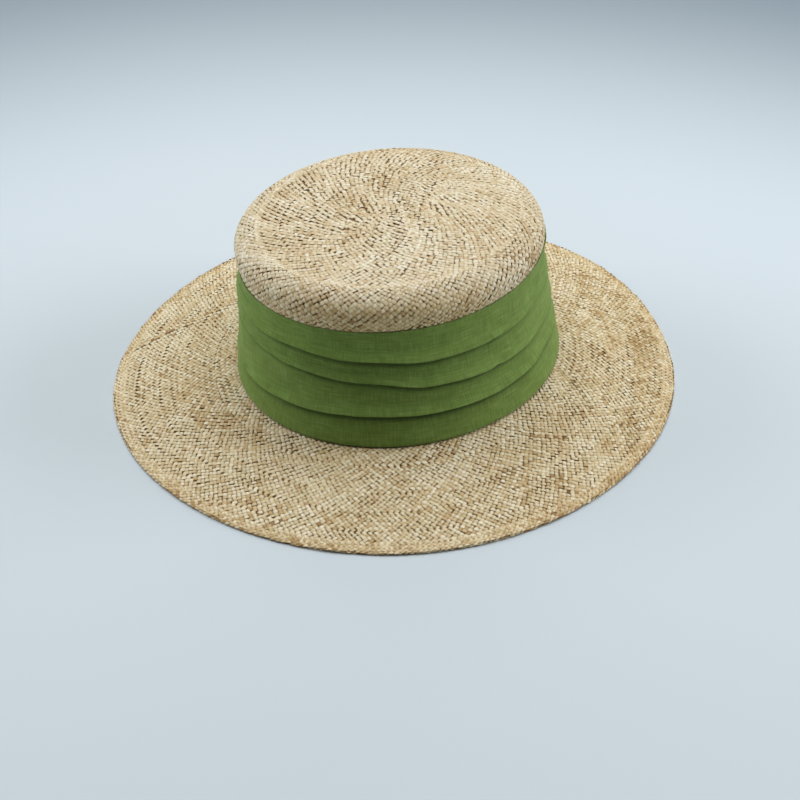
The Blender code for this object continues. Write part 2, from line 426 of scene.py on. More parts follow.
weave = {
    "depth": 0.62,  # how far the cushions' feet lie under the solid's face
    "floatLength": 1.42,  # shares of the strand spacing
    "floatWidth": 0.97,
    "floatHeight": 0.7,  # millimetres
    "rowShare": 1.0,  # 1 sets the strands at 45 degrees
    "placeJitter": 0.035,
    "turnJitter": 3.5,
    "sizeJitter": 0.06,
    "tiltJitter": 3.0,
    "wander": 0.6,
    "ripple": 0.22,
    "strandSpread": 0.125,
    "streakSpread": 0.1,
    "floatSpread": 0.035,
    "rowSpread": 0.06,  # lighter and darker rows that run part of the way round
    "looseShare": 0.2,
    "edgeBand": 5.5,  # the last millimetres to the rim are beaten up close
    "ropeBand": 2.2,  # and right at the rim the strands lie along it
    # where and how wide the painted warm bounce light lies on the shoulder
    "warmBounceAngle": -54.0,
    "warmBounceWidth": 42.0,
    "seed": 73,
}


def floatShape(name, columns, middle, edge, widths):
    # one small cushion: a pillowed top over a flat foot, a unit long, wide and high
    count = len(columns)
    points = []
    for x, top, side, width in zip(columns, middle, edge, widths):
        points.append((x, -0.5 * width, side))
        points.append((x, 0.0, top))
        points.append((x, 0.5 * width, side))
    faces = []
    for k in range(count - 1):
        a = 3 * k
        faces.append((a, a + 3, a + 4, a + 1))
        faces.append((a + 1, a + 4, a + 5, a + 2))
    under = [3 * k for k in range(count)]
    under += [3 * count - 2, 3 * count - 1]
    under += [3 * k + 2 for k in range(count - 2, -1, -1)]
    under += [1]
    faces.append(tuple(reversed(under)))
    mesh = bpy.data.meshes.new(name)
    mesh.from_pydata(points, [], faces)
    mesh.update()
    # the strand's cut edges stay crisp, and are marked for the material, which browns them and paints
    # shade along them
    rim = {tuple(sorted(key)) for key in mesh.polygons[-1].edge_keys}
    for edge in mesh.edges:
        edge.use_edge_sharp = tuple(sorted(edge.vertices)) in rim
    border = set(under)
    marks = mesh.attributes.new("border", "FLOAT", "POINT")
    marks.data.foreach_set("value", [1.0 if k in border else 0.0 for k in range(len(points))])
    made = bpy.data.objects.new(name, mesh)
    bpy.context.scene.collection.objects.link(made)
    shadeSmooth(made)
    return made


fineFloat = floatShape(
    "fine float",
    (-0.5, -0.22, 0.22, 0.5),
    (0.0, 1.0, 1.0, 0.0),
    (-0.2, 0.66, 0.66, -0.2),
    (0.8, 1.0, 1.0, 0.8),
)
plainFloat = floatShape(
    "plain float", (-0.5, 0.0, 0.5), (0.05, 1.1, 0.05), (-0.15, 0.55, -0.15), (0.8, 1.0, 0.8)
)


def ovalPerimeter(halfX, halfY):
    # Ramanujan's formula
    mix = 3.0 * (halfX + halfY)
    return math.pi * (mix - math.sqrt((3.0 * halfX + halfY) * (halfX + 3.0 * halfY)))


def evenAngles(halfX, halfY, shares):
    # angles that cut an oval into equal lengths
    fine = np.linspace(0.0, 2.0 * np.pi, 721)
    steps = np.hypot(np.diff(halfX * np.cos(fine)), np.diff(halfY * np.sin(fine)))
    lengths = np.concatenate([[0.0], np.cumsum(steps)])
    lengths /= lengths[-1]
    turns = np.floor(shares)
    return np.interp(shares - turns, lengths, fine) + turns * 2.0 * np.pi


def slowWaves(generator, theta, s, waves, around, along):
    # a smooth field from -1 to 1: waves round the hat and waves down its section
    total = np.zeros_like(theta)
    for _ in range(waves):
        turns = generator.integers(1, around)
        steps = generator.uniform(0.3, 1.0) / along
        phase = generator.uniform(0.0, 2.0 * np.pi, 2)
        total += np.sin(turns * theta + phase[0] + 2.0 * np.pi * steps * s) * np.cos(
            2.0 * np.pi * steps * s * 0.7 + phase[1]
        )
    return total / math.sqrt(waves * 0.5)


# a splice that runs across the brim: its line seen from above, its ridge and its two tints
brimSplice = {
    "line": ((-110.5, -14.0), (-113.0, -24.0), (-117.0, -42.0), (-126.0, -76.0), (-132.0, -97.0)),
    "ridge": 0.7,
    "ridgeWidth": 1.8,
    "rowPlace": 1.7,
    "rowWidth": 1.5,
    "darkTint": -0.34,
    "paleTint": 0.15,
}


def spliceDistance(place):
    # how far points lie from the splice, seen from above, positive on the rim's side of it
    line = np.array(brimSplice["line"])
    nearest = np.full(len(place), 1000.0)
    for first, last in zip(line[:-1], line[1:]):
        along = last - first
        share = np.clip((place[:, :2] - first) @ along / (along @ along), 0.0, 1.0)
        away = place[:, :2] - first - share[:, None] * along
        side = np.sign(along[1] * away[:, 0] - along[0] * away[:, 1])
        distance = side * np.hypot(away[:, 0], away[:, 1])
        nearest = np.where(np.abs(distance) < np.abs(nearest), distance, nearest)
    return nearest


def weaveFloats(path, seed, values):
    # places, frames, sizes and tints of every cushion between two path lengths
    generator = np.random.default_rng(seed)
    start, end, spacing, zoneLength = [values[key] for key in ("start", "end", "spacing", "zone")]
    crowding = values["crowding"]
    fullWidth = 2.0 * spacing / math.sqrt(2.0)
    rows = []
    s = start
    zone = 0
    while s < end:
        zoneEnd = min(end, s + zoneLength * generator.uniform(0.75, 1.25))
        if end - zoneEnd < 0.45 * zoneLength:
            zoneEnd = end
        halfX, halfY = hoodStation(path, 0.5 * (s + zoneEnd))[:2]
        count = max(12, int(round(ovalPerimeter(halfX, halfY) / fullWidth)))
        rowIndex = 0
        while s < zoneEnd:
            halfX, halfY = hoodStation(path, s)[:2]
            perimeter = ovalPerimeter(halfX, halfY)
            rows.append((s, count, rowIndex, zone, perimeter / count))
            s += 0.5 * perimeter / count * weave["rowShare"] * crowding
            rowIndex += 1
        zone += 1
    strandTint = generator.normal(0.0, weave["strandSpread"], (zone + 1, 2, 900))
    strandHue = generator.uniform(0.0, 1.0, (zone + 1, 2, 900))
    strandWidth = generator.normal(1.0, 0.07, (zone + 1, 2, 900))
    streaks = generator.normal(0.0, weave["streakSpread"], (zone + 1, 2, 900, 14))
    rowTint = generator.normal(0.0, weave["rowSpread"], len(rows))
    columns = {key: [] for key in ("s", "share", "half", "family", "tint", "hue", "width")}
    columns["arc"] = []
    for order, (s, count, rowIndex, zone, cell) in enumerate(rows):
        places = np.arange(count)
        family = rowIndex % 2
        shares = (places + 0.5 * family) / count
        step = 2 * places + family
        if family == 0:
            strand = ((step + rowIndex) // 2) % count
        else:
            strand = ((step - rowIndex) // 2) % count
        segment = rowIndex / 7.0
        low = int(segment) % 13
        part = segment - int(segment)
        streak = streaks[zone, family, strand, low] * (1.0 - part)
        streak = streak + streaks[zone, family, strand, low + 1] * part
        halfX, halfY = hoodStation(path, s)[:2]
        columns["s"].append(np.full(count, s))
        columns["share"].append(evenAngles(halfX, halfY, shares))
        columns["half"].append(np.full(count, cell * 0.5))
        columns["family"].append(np.full(count, family))
        columns["tint"].append(strandTint[zone, family, strand] + streak)
        columns["hue"].append(strandHue[zone, family, strand])
        columns["width"].append(strandWidth[zone, family, strand])
        columns["arc"].append(np.full(count, rowTint[order]))
    table = {key: np.concatenate(value) for key, value in columns.items()}
    total = len(table["s"])
    theta = table["share"]
    half = table["half"]
    halves = hoodStation(path, table["s"])[:, :2]
    radius = np.maximum(halves.mean(axis=1), 12.0)
    wander = weave["wander"]
    slowSide = slowWaves(generator, theta, table["s"], 9, 14, 26.0)
    slowDown = slowWaves(generator, theta, table["s"], 9, 14, 26.0)
    fineSide = slowWaves(generator, theta, table["s"], 9, 70, 9.0)
    fineDown = slowWaves(generator, theta, table["s"], 9, 70, 9.0)
    jitter = generator.normal(0.0, weave["placeJitter"], (2, total)) * half * 2.0
    theta = theta + (wander * slowSide + weave["ripple"] * fineSide + jitter[0]) / radius
    s = table["s"] + 0.7 * wander * slowDown + weave["ripple"] * fineDown + jitter[1]
    s = np.clip(s, start, end)
    place = hoodPoint(path, s, theta)
    down = hoodPoint(path, s + 0.25, theta) - hoodPoint(path, s - 0.25, theta)
    side = hoodPoint(path, s, theta + 0.002) - hoodPoint(path, s, theta - 0.002)
    down /= np.linalg.norm(down, axis=1, keepdims=True) + 1e-12
    side -= (side * down).sum(axis=1, keepdims=True) * down
    side /= np.linalg.norm(side, axis=1, keepdims=True) + 1e-12
    up = np.cross(down, side)
    splice = spliceDistance(place)
    onBrim = (up[:, 2] > 0.5) & (place[:, 2] < 20.0)
    ridge = brimSplice["ridge"] * np.exp(-((splice / brimSplice["ridgeWidth"]) ** 2)) * onBrim
    place = place + ridge[:, None] * up
    slant = np.where(table["family"] == 0, 1.0, -1.0)
    toRim = np.abs(s - path["marks"]["rim"])
    close = 1.0 - smoothStep(0.4 * weave["edgeBand"], weave["edgeBand"], toRim)
    roped = 1.0 - smoothStep(0.5 * weave["ropeBand"], 1.5 * weave["ropeBand"], toRim)
    lean = math.atan(weave["rowShare"] * crowding) * (1.0 - 0.9 * roped)
    calm = 1.0 - 0.75 * roped
    angle = slant * lean + calm * np.radians(generator.normal(0.0, weave["turnJitter"], total))
    forward = side * np.cos(angle)[:, None] + down * np.sin(angle)[:, None]
    tilt = calm * np.radians(generator.normal(0.0, weave["tiltJitter"], total))
    forward = forward * np.cos(tilt)[:, None] + up * np.sin(tilt)[:, None]
    up = up - (up * forward).sum(axis=1, keepdims=True) * forward
    up /= np.linalg.norm(up, axis=1, keepdims=True)
    across = np.cross(up, forward)
    # strands that cross at a flat angle show longer and narrower cushions
    slope = math.hypot(1.0, crowding)
    strandLength = half * slope
    strandGap = 2.0 * half * crowding / slope
    spread = generator.normal(1.0, weave["sizeJitter"], (3, total))
    # looser patches, where the strands are narrower and the dark gaps between them show
    loose = slowWaves(generator, theta, table["s"], 12, 40, 14.0)
    loose = smoothStep(0.5, 1.8, loose) * weave["looseShare"] * (1.0 - close)
    size = np.empty((total, 3))
    size[:, 0] = strandLength * weave["floatLength"] * spread[0] * (1.0 + 0.12 * close)
    size[:, 1] = strandGap * weave["floatWidth"] * values["cover"] * table["width"] * spread[1]
    size[:, 1] *= (1.0 - loose) * (1.0 + 0.22 * close) * (1.0 - 0.4 * roped)
    size[:, 2] = weave["floatHeight"] * (1.0 + calm * (spread[2] - 1.0)) * (0.9 + 0.1 * calm)
    # a strand that would reach under the floor is lifted clear of it
    reach = 0.5 * (size[:, 0] * np.abs(forward[:, 2]) + size[:, 1] * np.abs(across[:, 2]))
    lowest = place[:, 2] - reach + 1.1 * size[:, 2] * np.minimum(up[:, 2], 0.0)
    place[:, 2] += np.maximum(0.0, 0.05 - lowest)
    slowTint = slowWaves(generator, theta, table["s"], 8, 5, 60.0)
    arcs = smoothStep(-0.4, 0.8, slowWaves(generator, theta, table["s"], 8, 6, 40.0))
    tint = values["contrast"] * (table["tint"] + arcs * table["arc"]) + 0.05 * slowTint
    tint = tint + values["paleness"]
    tint = tint + generator.normal(0.0, weave["floatSpread"], total)
    darkRow, paleRow = [
        np.exp(-(((splice - side * brimSplice["rowPlace"]) / brimSplice["rowWidth"]) ** 2)) * onBrim
        for side in (1.0, -1.0)
    ]
    tint = tint + brimSplice["darkTint"] * darkRow + brimSplice["paleTint"] * paleRow
    return {
        "place": place,
        "axes": np.stack([forward, across, up], axis=-1),
        "size": size,
        "tint": np.clip(tint, 0.02, 1.0),
        "hue": table["hue"],
        # the piece's golden tone plus the painted warm bounce light
        "gold": values["gold"] + paintedWarmBounce(theta, place[:, 2]),
    }


def paintedWarmBounce(theta, z):
    # painted warm bounce light: the straw is painted more golden low on the shoulder, on the side that
    # faces the camera, where the brim throws warm light up
    away = (np.degrees(theta) - weave["warmBounceAngle"] + 180.0) % 360.0 - 180.0
    reach = np.exp(-((away / weave["warmBounceWidth"]) ** 2))
    low = 1.0 - smoothStep(94.0, 101.5, z)
    return 0.9 * reach * low * (z > 60.0)


def turnsFromAxes(axes):
    # quaternions (w, x, y, z) of stacks of rotation matrices
    m = axes
    trace = m[:, 0, 0] + m[:, 1, 1] + m[:, 2, 2]
    options = np.stack(
        [
            1.0 + trace,
            1.0 + m[:, 0, 0] - m[:, 1, 1] - m[:, 2, 2],
            1.0 - m[:, 0, 0] + m[:, 1, 1] - m[:, 2, 2],
            1.0 - m[:, 0, 0] - m[:, 1, 1] + m[:, 2, 2],
        ],
        axis=1,
    )
    best = options.argmax(axis=1)
    rows = np.empty((4, len(m), 4))
    rows[0] = np.stack(
        [options[:, 0], m[:, 2, 1] - m[:, 1, 2], m[:, 0, 2] - m[:, 2, 0], m[:, 1, 0] - m[:, 0, 1]],
        axis=1,
    )
    rows[1] = np.stack(
        [m[:, 2, 1] - m[:, 1, 2], options[:, 1], m[:, 0, 1] + m[:, 1, 0], m[:, 0, 2] + m[:, 2, 0]],
        axis=1,
    )
    rows[2] = np.stack(
        [m[:, 0, 2] - m[:, 2, 0], m[:, 0, 1] + m[:, 1, 0], options[:, 2], m[:, 1, 2] + m[:, 2, 1]],
        axis=1,
    )
    rows[3] = np.stack(
        [m[:, 1, 0] - m[:, 0, 1], m[:, 0, 2] + m[:, 2, 0], m[:, 1, 2] + m[:, 2, 1], options[:, 3]],
        axis=1,
    )
    chosen = rows[best, np.arange(len(m))]
    return chosen / np.linalg.norm(chosen, axis=1, keepdims=True)


def makeWeaveTree():
    # sets one cushion on each guide point, turned and sized as the point's own values say
    tree = bpy.data.node_groups.new("straw weave", "GeometryNodeTree")
    face = tree.interface
    face.new_socket("Geometry", in_out="OUTPUT", socket_type="NodeSocketGeometry")
    face.new_socket("Geometry", in_out="INPUT", socket_type="NodeSocketGeometry")
    sockets = {}
    for name, kind in (
        ("Float", "NodeSocketObject"),
        ("Material", "NodeSocketMaterial"),
        ("Length", "NodeSocketFloat"),
        ("Width", "NodeSocketFloat"),
        ("Height", "NodeSocketFloat"),
    ):
        made = face.new_socket(name, in_out="INPUT", socket_type=kind)
        sockets[name] = made.identifier
    nodes, links = tree.nodes, tree.links
    start = nodes.new("NodeGroupInput")
    end = nodes.new("NodeGroupOutput")
    shape = nodes.new("GeometryNodeObjectInfo")
    turn = nodes.new("GeometryNodeInputNamedAttribute")
    turn.data_type = "QUATERNION"
    turn.inputs["Name"].default_value = "turn"
    size = nodes.new("GeometryNodeInputNamedAttribute")
    size.data_type = "FLOAT_VECTOR"
    size.inputs["Name"].default_value = "size"
    scales = nodes.new("ShaderNodeCombineXYZ")
    multiply = nodes.new("ShaderNodeVectorMath")
    multiply.operation = "MULTIPLY"
    instance = nodes.new("GeometryNodeInstanceOnPoints")
    realize = nodes.new("GeometryNodeRealizeInstances")
    paint = nodes.new("GeometryNodeSetMaterial")
    links.new(start.outputs["Float"], shape.inputs["Object"])
    links.new(start.outputs["Length"], scales.inputs["X"])
    links.new(start.outputs["Width"], scales.inputs["Y"])
    links.new(start.outputs["Height"], scales.inputs["Z"])
    links.new(scales.outputs["Vector"], multiply.inputs[0])
    links.new(size.outputs["Attribute"], multiply.inputs[1])
    links.new(start.outputs["Geometry"], instance.inputs["Points"])
    links.new(shape.outputs["Geometry"], instance.inputs["Instance"])
    links.new(turn.outputs["Attribute"], instance.inputs["Rotation"])
    links.new(multiply.outputs["Vector"], instance.inputs["Scale"])
    links.new(instance.outputs["Instances"], realize.inputs["Geometry"])
    links.new(realize.outputs["Geometry"], paint.inputs["Geometry"])
    links.new(start.outputs["Material"], paint.inputs["Material"])
    links.new(paint.outputs["Geometry"], end.inputs["Geometry"])
    return tree, sockets


weaveTree, weaveSockets = makeWeaveTree()


def storeValues(mesh, name, kind, values):
    layer = mesh.attributes.new(name, kind, "POINT")
    field = "vector" if kind == "FLOAT_VECTOR" else "value"
    layer.data.foreach_set(field, np.ascontiguousarray(values, dtype=np.float32).ravel())


def bakeCells(mesh, shape, count):
    # a map for later baking: each cushion has a square of its own, its foot a strip at the side
    template = shape.data
    loops = np.array([loop.vertex_index for loop in template.loops])
    points = np.array([vertex.co[:] for vertex in template.vertices])
    footLoops = template.polygons[-1].loop_total
    flat = points[loops][:, :2] + 0.5
    flat[:, 0] = 0.05 + 0.72 * flat[:, 0]
    flat[:, 1] = 0.06 + 0.88 * flat[:, 1]
    foot = flat[-footLoops:]
    foot[:, 0] = 0.84 + 0.11 * (foot[:, 0] - foot[:, 0].min()) / np.ptp(foot[:, 0])
    across = math.ceil(math.sqrt(count))
    cells = np.arange(count)
    corner = np.stack([cells % across, cells // across], axis=1)
    uv = (corner[:, None, :] + flat[None, :, :]) / across
    layer = mesh.uv_layers.new(name="OFBake")
    layer.data.foreach_set("uv", uv.astype(np.float32).ravel())


def makeWeave(name, floats, shape):
    count = len(floats["tint"])
    guideMesh = bpy.data.meshes.new(name + " guide")
    guideMesh.from_pydata((floats["place"] * metres).tolist(), [], [])
    storeValues(guideMesh, "turn", "QUATERNION", turnsFromAxes(floats["axes"]))
    storeValues(guideMesh, "size", "FLOAT_VECTOR", floats["size"])
    storeValues(guideMesh, "tint", "FLOAT", floats["tint"])
    storeValues(guideMesh, "hue", "FLOAT", floats["hue"])
    storeValues(guideMesh, "gold", "FLOAT", floats["gold"])
    guide = bpy.data.objects.new(name + " guide", guideMesh)
    bpy.context.scene.collection.objects.link(guide)
    modifier = guide.modifiers.new("weave", "NODES")
    modifier.node_group = weaveTree
    modifier[weaveSockets["Float"]] = shape
    modifier[weaveSockets["Material"]] = strawMaterial
    for size in ("Length", "Width", "Height"):
        modifier[weaveSockets[size]] = metres
    evaluated = guide.evaluated_get(bpy.context.evaluated_depsgraph_get())
    mesh = bpy.data.meshes.new_from_object(evaluated)
    mesh.name = name
    for spare in ("turn", "size"):
        if spare in mesh.attributes:
            mesh.attributes.remove(mesh.attributes[spare])
    bakeCells(mesh, shape, count)
    piece = bpy.data.objects.new(name, mesh)
    bpy.context.scene.collection.objects.link(piece)
    shadeSmooth(piece)
    bpy.data.objects.remove(guide, do_unlink=True)
    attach(piece, rootBody)
    triangles = sum(len(face.vertices) - 2 for face in mesh.polygons)
    print(name, count, "floats,", triangles, "triangles")
    return piece


strawPath = hoodPath(weave["depth"])
corner = strawPath["marks"]["corner"]
wallTop = strawPath["marks"]["wallTop"]
shoulderStart = strawPath["marks"]["tipEdge"] + 1.0
pathEnd = strawPath["marks"]["end"]
rimPlace = strawPath["marks"]["rim"]
brimMiddle = 0.5 * (corner + rimPlace)
rimStart = rimPlace - 6.5
rimEnd = rimPlace + 7.5
# the same places on the way back up the inside
underMiddle = 2.0 * rimPlace - brimMiddle
underCorner = 2.0 * rimPlace - corner
insideTop = 2.0 * rimPlace - wallTop

weavePieces = {
    "crown_weave": {
        "start": 0.6,
        "end": shoulderStart,
        "spacing": 2.45,
        "zone": 8.0,
        "shape": fineFloat,
        "paleness": 0.585,
        "gold": 0.1,
        "contrast": 0.7,
        "cover": 1.06,
    },
    "brim_weave_inner": {
        "start": corner + 1.0,
        "end": brimMiddle,
        "spacing": 2.35,
        "shape": fineFloat,
        "paleness": 0.61,
        "cover": 0.94,
    },
    "brim_weave_outer": {
        "start": brimMiddle,
        "end": rimStart + 1.2,
        "spacing": 2.3,
        "shape": fineFloat,
        "paleness": 0.61,
        "cover": 0.95,
    },
    "rim_weave": {
        "start": rimStart,
        "end": rimEnd,
        "spacing": 2.1,
        "zone": 30.0,
        "paleness": 0.59,
        "gold": 0.6,
        "crowding": 0.82,
        "cover": 1.15,
    },
    "brim_underside_outer": {"start": rimEnd, "end": underMiddle, "spacing": 2.35},
    "brim_underside_inner": {"start": underMiddle, "end": underCorner, "spacing": 2.35},
    "crown_inside_wall": {
        "start": underCorner,
        "end": insideTop,
        "spacing": 2.4,
        "zone": 40.0,
        "paleness": 0.58,
    },
    "crown_inside_tip": {"start": insideTop, "end": pathEnd - 0.6, "spacing": 2.42, "zone": 10.0},
    "shoulder_weave": {
        "start": shoulderStart,
        "end": wallTop + 13.0,
        "spacing": 2.85,
        "shape": fineFloat,
        "zone": 60.0,
        "paleness": 0.585,
        "gold": 0.1,
        "contrast": 0.8,
        "crowding": 0.74,
        "cover": 1.04,
    },
}
# what a piece has where it names nothing else
plainWeave = {
    "zone": 15.0,  # millimetres down the section before strands are added
    "shape": plainFloat,
    "paleness": 0.6,
    "gold": 0.5,
    "contrast": 1.0,
    "crowding": 1.0,
    "cover": 1.0,
}

strawPieces = []
for order, (name, values) in enumerate(weavePieces.items()):
    values = {**plainWeave, **values}
    floats = weaveFloats(strawPath, weave["seed"] + order, values)
    strawPieces.append(makeWeave(name, floats, values["shape"]))

for shape in (fineFloat, plainFloat):
    bpy.data.objects.remove(shape, do_unlink=True)
print("weave made")


# The layer that is seen through the gaps of the weave: a dark sheet that stands in for the strands
# beneath and for the shade inside the weave

gapLayer = {"depth": 0.86, "around": 132, "step": 3.4}


def makeGapLayer():
    path = hoodPath(gapLayer["depth"], woven=False)
    count = int(path["marks"]["end"] / gapLayer["step"])
    s = np.linspace(0.0, path["marks"]["end"], count)
    theta = np.linspace(0.0, 2.0 * np.pi, gapLayer["around"], endpoint=False)
    grid = hoodPoint(path, s[1:-1, None] + 0.0 * theta[None, :], theta[None, :] + 0.0 * s[1:-1, None])
    rows, around = grid.shape[:2]
    first = hoodPoint(path, s[:1], np.zeros(1))
    last = hoodPoint(path, s[-1:], np.zeros(1))
    points = np.vstack([grid.reshape(-1, 3), first, last])
    faces = []
    for row in range(rows - 1):
        for k in range(around):
            after = (k + 1) % around
            a, b = row * around, (row + 1) * around
            faces.append((a + k, b + k, b + after, a + after))
    top, bottom = rows * around, rows * around + 1
    base = (rows - 1) * around
    for k in range(around):
        after = (k + 1) % around
        faces.append((top, k, after))
        faces.append((bottom, base + after, base + k))
    piece = newMesh("straw_gap_layer", points, faces)
    piece.data.materials.append(gapMaterial)
    shadeSmooth(piece)
    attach(piece, rootBody)
    return piece


gapPiece = makeGapLayer()
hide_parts("straw_body")
print("gap layer made")


# The linen band

band = {
    "bottom": 13.5,
    "height": 70.5,
    "clothThickness": 0.32,
    "tuck": 0.45,  # the cloth's outer face at a fold, out from the straw
    "lip": 4.2,  # and at a pleat's lower edge
    "flat": 1.25,  # and on a pleat's plain face
    "apron": 5.6,  # height of the part above a fold that slopes outward
    "overlap": 2.6,  # how far the cloth runs back up behind a pleat
    "around": 310,
    "samples": 3,  # points between the section's named ones
    "seed": 12,
    "flatWidth": 0.092,  # metres of cloth from edge to edge before it is pleated
    "flatLength": 0.60,
}

# angle, then height share and depth share of the upper, middle and lower fold
bandFolds = np.array(
    [
        (-150, 0.78, 0.15, 0.61, 0.10, 0.22, 0.20),
        (-118, 0.782, 0.55, 0.61, 0.15, 0.228, 0.50),
        (-100, 0.775, 1.0, 0.608, 0.50, 0.25, 0.80),
        (-86, 0.775, 1.0, 0.60, 0.75, 0.263, 0.90),
        (-58, 0.749, 1.0, 0.565, 0.80, 0.285, 1.0),
        (-36, 0.718, 1.0, 0.50, 0.90, 0.268, 1.0),
        (-13, 0.715, 0.75, 0.483, 1.0, 0.265, 1.0),
        (2, 0.711, 0.25, 0.479, 0.70, 0.275, 0.90),
        (16, 0.72, 0.05, 0.475, 0.20, 0.292, 0.45),
        (60, 0.74, 0.15, 0.50, 0.15, 0.29, 0.15),
        (120, 0.75, 0.40, 0.52, 0.40, 0.27, 0.40),
        (180, 0.76, 0.35, 0.55, 0.35, 0.25, 0.35),
    ]
)

# angle, rise of the upper edge, and fullness of the lowest pleat
bandEdge = np.array(
    [
        (-160, 0.0, 0.0),
        (-118, -3.0, 0.1),
        (-86, -2.4, 0.8),
        (-32, -1.8, 0.9),
        (2, 0.0, 0.9),
        (36, 4.2, 0.6),
        (90, 2.4, 0.5),
    ]
)
pleatFullness = (0.1, 0.15, 0.35, 1.0)

# puckers in the cloth: angle, height, half length, half width, depth, slant in degrees
bandPuckers = (
    (-53, 43.0, 9.0, 1.6, 0.85, 22.0),
    (-14, 62.0, 5.0, 1.9, 1.1, 14.0),
    (-12, 47.5, 7.0, 1.8, 0.95, 30.0),
    (-70, 22.0, 12.0, 1.5, 0.28, 3.0),
    (-95, 50.0, 11.0, 1.8, 0.3, -12.0),
    (4, 56.0, 9.0, 2.2, 0.35, 18.0),
    (24, 26.0, 12.0, 2.4, 0.4, 10.0),
    (-112, 40.0, 9.0, 2.0, 0.3, -18.0),
)


def bandControls(degrees):
    # the cloth's section at each angle, as rows of distance out from the straw, height,
    # and how much painted shade the cloth takes there for lying deep in a fold, from 0 to 1
    top = band["bottom"] + band["height"] + easedAround(bandEdge, degrees, 1)
    fullness = easedAround(bandEdge, degrees, 2)
    tuck, lip, flat, apron = band["tuck"], band["lip"], band["flat"], band["apron"]
    overlap = band["overlap"]
    zero = np.zeros_like(top)
    face = flat + fullness * pleatFullness[0]
    controls = [
        (zero + 0.12, top - 5.0, zero + 1.0),
        (zero + 0.12, top - 0.7, zero + 0.4),
        (zero + 0.16, top - 0.1, zero),
        (zero + 0.42, top + 0.1, zero),
        (zero + 0.7, top - 0.3, zero),
        (zero + 0.8, top - 1.1, zero),
        (0.4 * face + 0.5, top - 2.8, zero),
        (face, top - 5.4, zero),
    ]
    above = top - 1.0
    for fold in range(3):
        level = band["bottom"] + band["height"] * easedAround(bandFolds, degrees, 1 + 2 * fold)
        depth = easedAround(bandFolds, degrees, 2 + 2 * fold)
        full = fullness * pleatFullness[fold]
        face = flat + full
        stand = (lip - flat) * depth
        if fold > 0:
            hollow = flat - (flat - tuck) * aboveDepth + full
            rise = face - hollow
            controls.append((hollow, above - 1.4, 0.95 * aboveDepth))
            controls.append((hollow + 0.4 * rise, above - 2.8, 0.55 * aboveDepth))
            controls.append((hollow + 0.95 * rise, above - 4.4, 0.12 * aboveDepth))
        controls.append((face, level + 1.25 * apron, zero))
        controls.append((face + 0.1 * stand, level + 0.92 * apron, zero))
        controls.append((face + 0.4 * stand, level + 0.62 * apron, zero))
        controls.append((face + 0.78 * stand, level + 0.3 * apron, zero))
        controls.append((face + stand, level + 0.5, zero))
        controls.append((face + stand - 0.15 * depth, level, 0.3 * depth))
        controls.append((face + stand - 0.7 * depth, level + 0.1 * depth, 0.9 * depth))
        nextHollow = flat - (flat - tuck) * depth + fullness * pleatFullness[fold + 1]
        controls.append((nextHollow + 0.6 * depth, level + 0.7 * depth * overlap, depth))
        controls.append((nextHollow - 0.1 * depth, level + 0.5 * depth * overlap, depth))
        controls.append((nextHollow - 0.05 * depth, level - 0.4, depth))
        above = level
        aboveDepth = depth
    full = fullness * pleatFullness[3]
    face = flat + full
    hollow = flat - (flat - tuck) * aboveDepth + full
    rise = face + 0.5 - hollow
    bottom = band["bottom"] + zero
    controls.append((hollow + 0.05 * rise, above - 1.4, 0.95 * aboveDepth))
    controls.append((hollow + 0.4 * rise, above - 2.9, 0.6 * aboveDepth))
    controls.append((hollow + 0.9 * rise, above - 4.8, 0.15 * aboveDepth))
    controls.append((face + 0.7, bottom + 8.0, zero))
    controls.append((face + 1.2, bottom + 1.6, zero))
    controls.append((face + 0.9, bottom + 0.35, zero))
    controls.append((face + 0.4, bottom + 0.25, zero + 0.5))
    controls.append((zero + 1.2, bottom + 1.2, zero + 1.0))
    controls.append((zero + 0.6, bottom + 5.0, zero + 1.0))
    return np.stack([np.stack(row, axis=-1) for row in controls])


def smoothThrough(controls, samples):
    # a smooth line through the controls, as Catmull and Rom draw it
    padded = np.concatenate([controls[:1], controls, controls[-1:]])
    points = []
    for k in range(len(controls) - 1):
        a, b, c, d = padded[k : k + 4]
        for step in range(samples):
            t = step / samples
            points.append(
                0.5
                * (
                    2.0 * b
                    + (c - a) * t
                    + (2.0 * a - 5.0 * b + 4.0 * c - d) * t * t
                    + (3.0 * b - a - 3.0 * c + d) * t ** 3
                )
            )
    points.append(controls[-1])
    return np.stack(points)


